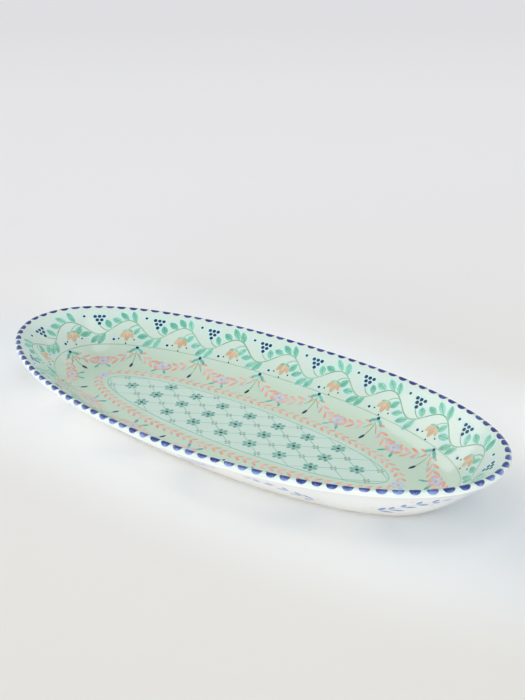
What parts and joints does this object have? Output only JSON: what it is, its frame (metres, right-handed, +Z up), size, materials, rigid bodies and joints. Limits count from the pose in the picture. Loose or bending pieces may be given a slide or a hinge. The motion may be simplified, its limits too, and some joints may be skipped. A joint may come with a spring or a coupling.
{
  "type": "oblong serving dish",
  "caption": "Shallow oval ceramic serving dish with a flared wall, a rolled lip that rises towards both ends, a glazed well and a bare foot ring.",
  "frame": {"origin": "on the table, under the middle of the dish", "axes": "+X along the length, +Y across the width, +Z up out of the well"},
  "size_m": [0.46, 0.208, 0.0459],
  "materials": {
    "clay": "matte",
    "bare_clay": "matte",
    "mint_glaze": "gloss",
    "white_glaze": "gloss"
  },
  "bodies": {
    "root": {"clay_body": "clay", "foot_ring": "bare_clay", "inner_glaze": "mint_glaze", "outer_glaze": "white_glaze", "base_glaze": "white_glaze"}
  },
  "joints": []
}
